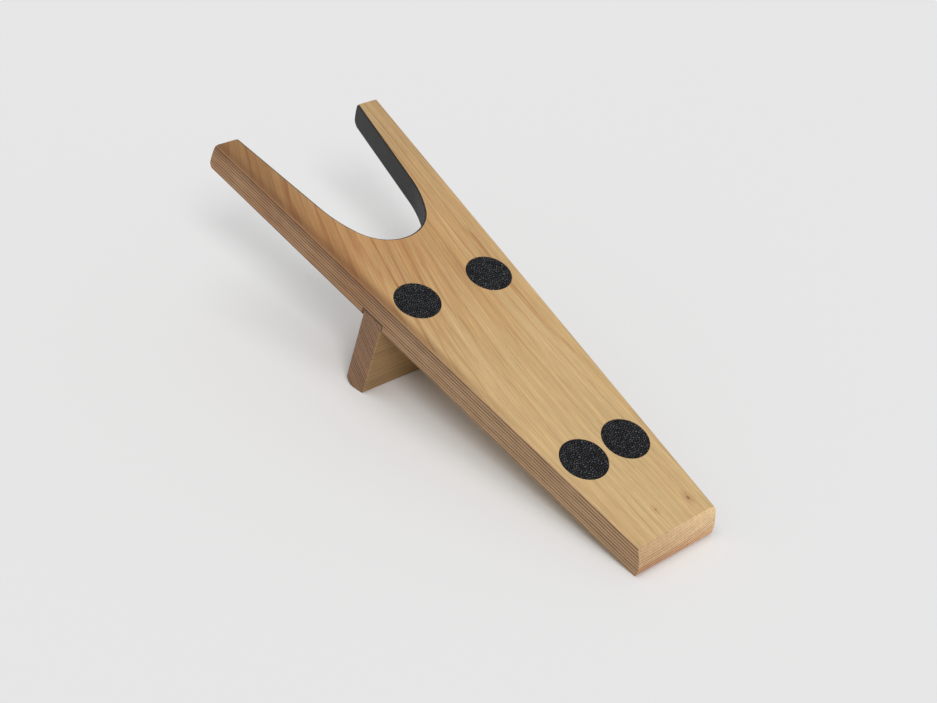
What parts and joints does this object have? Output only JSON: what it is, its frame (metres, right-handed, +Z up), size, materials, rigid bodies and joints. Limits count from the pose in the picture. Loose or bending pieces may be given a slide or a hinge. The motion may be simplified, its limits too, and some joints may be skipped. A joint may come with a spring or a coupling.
{
  "type": "boot jack",
  "caption": "Sloping wooden boot jack with a lined heel notch at its raised end, a cross leg below and round grip pads on top.",
  "frame": {"origin": "middle of the footprint, on the floor that the part stands on", "axes": "+Z up; +Y from the low heel end to the raised notch end; +X to the right when the notch points away"},
  "size_m": [0.1104, 0.3152, 0.0991],
  "materials": {
    "board_wood": "satin, clear oiled, long grain",
    "leg_wood": "satin, clear oiled, grain across the board",
    "liner_leather": "smooth dark grey leather, matt",
    "pad_leather": "black pebbled leather, matt",
    "screw_steel": "zinc plated"
  },
  "bodies": {
    "root": {"board": "board_wood", "leg": "leg_wood", "notch_liner": "liner_leather", "pad_upper_left": "pad_leather", "pad_upper_right": "pad_leather", "pad_lower_left": "pad_leather", "pad_lower_right": "pad_leather", "leg_screws": "screw_steel"}
  },
  "joints": []
}
